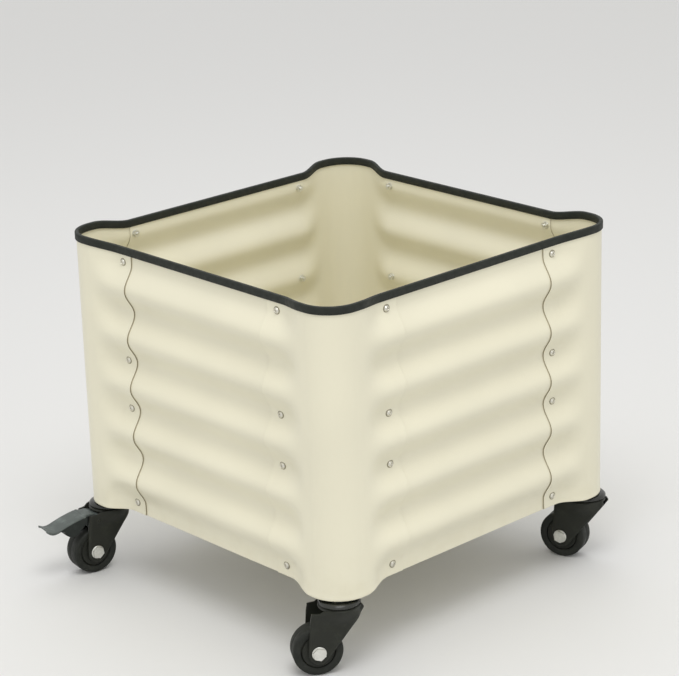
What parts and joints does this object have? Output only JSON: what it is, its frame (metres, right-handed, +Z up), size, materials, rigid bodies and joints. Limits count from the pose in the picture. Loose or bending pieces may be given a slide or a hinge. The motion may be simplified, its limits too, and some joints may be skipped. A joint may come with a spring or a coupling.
{
  "type": "rolling planter box",
  "caption": "Square raised planter box with corrugated steel walls, plain rounded corner panels, rubber-trimmed rim and drained floor, rolling on swivel casters, some with foot brakes.",
  "frame": {"origin": "on the ground directly under the centre of the planter box", "axes": "+Z up, X and Y square to the walls; the front wall faces -Y and the foot brakes are on the -X side"},
  "size_m": [0.6302, 0.793, 0.572],
  "materials": {
    "cream_sheet": "semi-gloss cream powder coat on thin steel sheet",
    "rim_rubber": "satin black",
    "galvanised": "dull galvanised",
    "black_steel": "satin black paint",
    "zinc": "bright zinc plate",
    "tyre_rubber": "matt dark grey tread",
    "hub_plastic": "moulded black",
    "pedal_grey": "satin dark grey moulding"
  },
  "bodies": {
    "planter": {"corner_panel_front_left": "cream_sheet", "corner_panel_front_right": "cream_sheet", "corner_panel_back_right": "cream_sheet", "corner_panel_back_left": "cream_sheet", "side_panel_front": "cream_sheet", "side_panel_right": "cream_sheet", "side_panel_back": "cream_sheet", "side_panel_left": "cream_sheet", "edge_trim": "rim_rubber", "floor_panel_right": "cream_sheet", "floor_panel_left": "cream_sheet", "base_rail_right": "galvanised", "base_rail_left": "galvanised", "corner_bracket_front_left": "black_steel", "corner_bracket_front_right": "black_steel", "corner_bracket_back_right": "black_steel", "corner_bracket_back_left": "black_steel", "raceway_cap_front_left": "black_steel", "stem_front_left": "zinc", "stem_nut_front_left": "zinc", "raceway_cap_front_right": "black_steel", "stem_front_right": "zinc", "stem_nut_front_right": "zinc", "raceway_cap_back_right": "black_steel", "stem_back_right": "zinc", "stem_nut_back_right": "zinc", "raceway_cap_back_left": "black_steel", "stem_back_left": "zinc", "stem_nut_back_left": "zinc"},
    "caster_front_left": {"fork_front_left": "black_steel", "axle_bolt_front_left": "zinc", "axle_nut_front_left": "zinc", "pedal_pin_front_left": "zinc"},
    "wheel_front_left": {"tyre_front_left": "tyre_rubber", "wheel_hub_front_left": "hub_plastic"},
    "brake_front_left": {"brake_pedal_front_left": "pedal_grey"},
    "caster_front_right": {"fork_front_right": "black_steel", "axle_bolt_front_right": "zinc", "axle_nut_front_right": "zinc"},
    "wheel_front_right": {"tyre_front_right": "tyre_rubber", "wheel_hub_front_right": "hub_plastic"},
    "caster_back_right": {"fork_back_right": "black_steel", "axle_bolt_back_right": "zinc", "axle_nut_back_right": "zinc"},
    "wheel_back_right": {"tyre_back_right": "tyre_rubber", "wheel_hub_back_right": "hub_plastic"},
    "caster_back_left": {"fork_back_left": "black_steel", "axle_bolt_back_left": "zinc", "axle_nut_back_left": "zinc", "pedal_pin_back_left": "zinc"},
    "wheel_back_left": {"tyre_back_left": "tyre_rubber", "wheel_hub_back_left": "hub_plastic"},
    "brake_back_left": {"brake_pedal_back_left": "pedal_grey"}
  },
  "joints": [
    {"name": "swivel_front_left", "type": "hinge", "parent": "planter", "child": "caster_front_left", "pos_m": [-0.274, -0.274, 0.1], "axis": [0, 0, 1], "continuous": true},
    {"name": "roll_front_left", "type": "hinge", "parent": "caster_front_left", "child": "wheel_front_left", "pos_m": [-0.28025, -0.30945, 0.038], "axis": [0.9848, -0.1736, 0], "continuous": true},
    {"name": "brake_front_left", "type": "hinge", "parent": "caster_front_left", "child": "brake_front_left", "pos_m": [-0.27921, -0.30354, 0.0915], "axis": [0.9848, -0.1736, 0], "range_deg": [0, 12]},
    {"name": "swivel_front_right", "type": "hinge", "parent": "planter", "child": "caster_front_right", "pos_m": [0.274, -0.274, 0.1], "axis": [0, 0, 1], "continuous": true},
    {"name": "roll_front_right", "type": "hinge", "parent": "caster_front_right", "child": "wheel_front_right", "pos_m": [0.25492, -0.30453, 0.038], "axis": [0.848, -0.5299, 0], "continuous": true},
    {"name": "swivel_back_right", "type": "hinge", "parent": "planter", "child": "caster_back_right", "pos_m": [0.274, 0.274, 0.1], "axis": [0, 0, 1], "continuous": true},
    {"name": "roll_back_right", "type": "hinge", "parent": "caster_back_right", "child": "wheel_back_right", "pos_m": [0.23996, 0.26228, 0.038], "axis": [0.3256, -0.9455, 0], "continuous": true},
    {"name": "swivel_back_left", "type": "hinge", "parent": "planter", "child": "caster_back_left", "pos_m": [-0.274, 0.274, 0.1], "axis": [0, 0, 1], "continuous": true},
    {"name": "roll_back_left", "type": "hinge", "parent": "caster_back_left", "child": "wheel_back_left", "pos_m": [-0.26775, 0.30945, 0.038], "axis": [-0.9848, 0.1736, 0], "continuous": true},
    {"name": "brake_back_left", "type": "hinge", "parent": "caster_back_left", "child": "brake_back_left", "pos_m": [-0.26879, 0.30354, 0.0915], "axis": [-0.9848, 0.1736, 0], "range_deg": [0, 12]}
  ]
}
